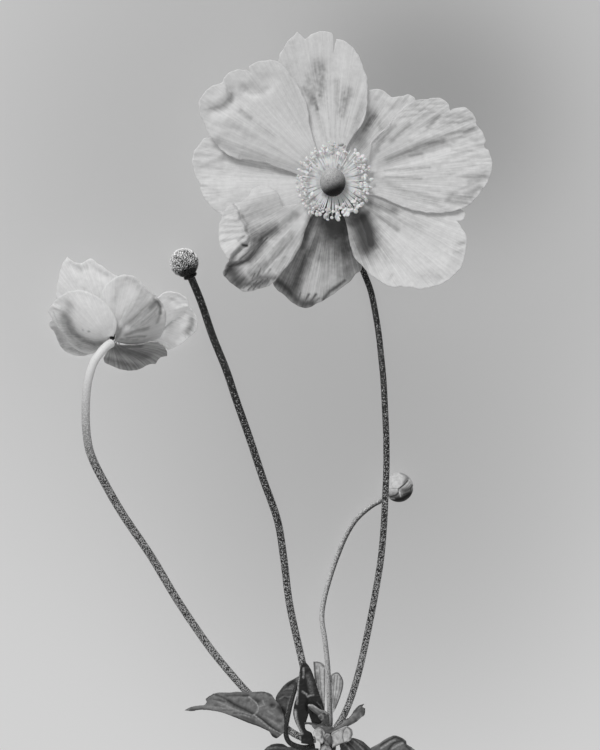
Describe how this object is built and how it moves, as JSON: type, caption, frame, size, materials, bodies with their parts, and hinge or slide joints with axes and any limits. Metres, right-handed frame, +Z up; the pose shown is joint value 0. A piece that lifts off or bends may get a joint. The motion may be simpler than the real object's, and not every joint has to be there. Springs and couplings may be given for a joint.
{
  "type": "anemone flower",
  "caption": "Cut Japanese anemone spray lying face up: open bloom, nodding half-open bloom, woolly seed head and round bud on long stems with leaves at their foot.",
  "frame": {"origin": "middle of the spray's outline, on the surface that it lies on", "axes": "+Y along the stems from the cut end to the open bloom, +Z up from the surface, towards where the open bloom faces, +X to the right seen from above"},
  "size_m": [0.1109, 0.1887, 0.0218],
  "materials": {
    "tepal": "satiny white tepal with fine veins",
    "seed_ball": "fine granular, matt",
    "stamen": "powdery, matt",
    "dark_stem": "dark stem with short pale hairs",
    "pale_stem": "pale stem with short hairs",
    "leaf": "dark leaf with sunken veins, half glossy",
    "young_leaf": "pale young leaf with veins, matt"
  },
  "bodies": {
    "root": {"tepal_top": "tepal", "tepal_top_right": "tepal", "tepal_right": "tepal", "tepal_low_right": "tepal", "tepal_bottom": "tepal", "tepal_low_left": "tepal", "tepal_left": "tepal", "tepal_top_left": "tepal", "open_pistil": "seed_ball", "open_stamens": "stamen", "half_tepal_left": "tepal", "half_tepal_right": "tepal", "half_tepal_back": "tepal", "half_tepal_far_right": "tepal", "half_tepal_low": "tepal", "half_tepal_far_left": "tepal", "half_pistil": "seed_ball", "half_stamens": "stamen", "open_stem": "dark_stem", "seed_stem": "dark_stem", "half_stem": "pale_stem", "bud_stem": "pale_stem", "stalk": "dark_stem", "leaf_rib": "leaf", "seed_head": "seed_ball", "bud": "seed_ball", "leaf_left": "leaf", "leaf_left_upper": "leaf", "leaf_upright": "leaf", "leaf_curled": "leaf", "leaf_right_low": "leaf", "leaf_right": "leaf", "leaf_bottom_left": "leaf", "bract_left": "young_leaf", "bract_right": "young_leaf", "leaf_small": "young_leaf", "lobe_left": "young_leaf", "lobe_middle": "young_leaf", "lobe_right": "young_leaf", "lobe_low": "young_leaf"}
  },
  "joints": []
}
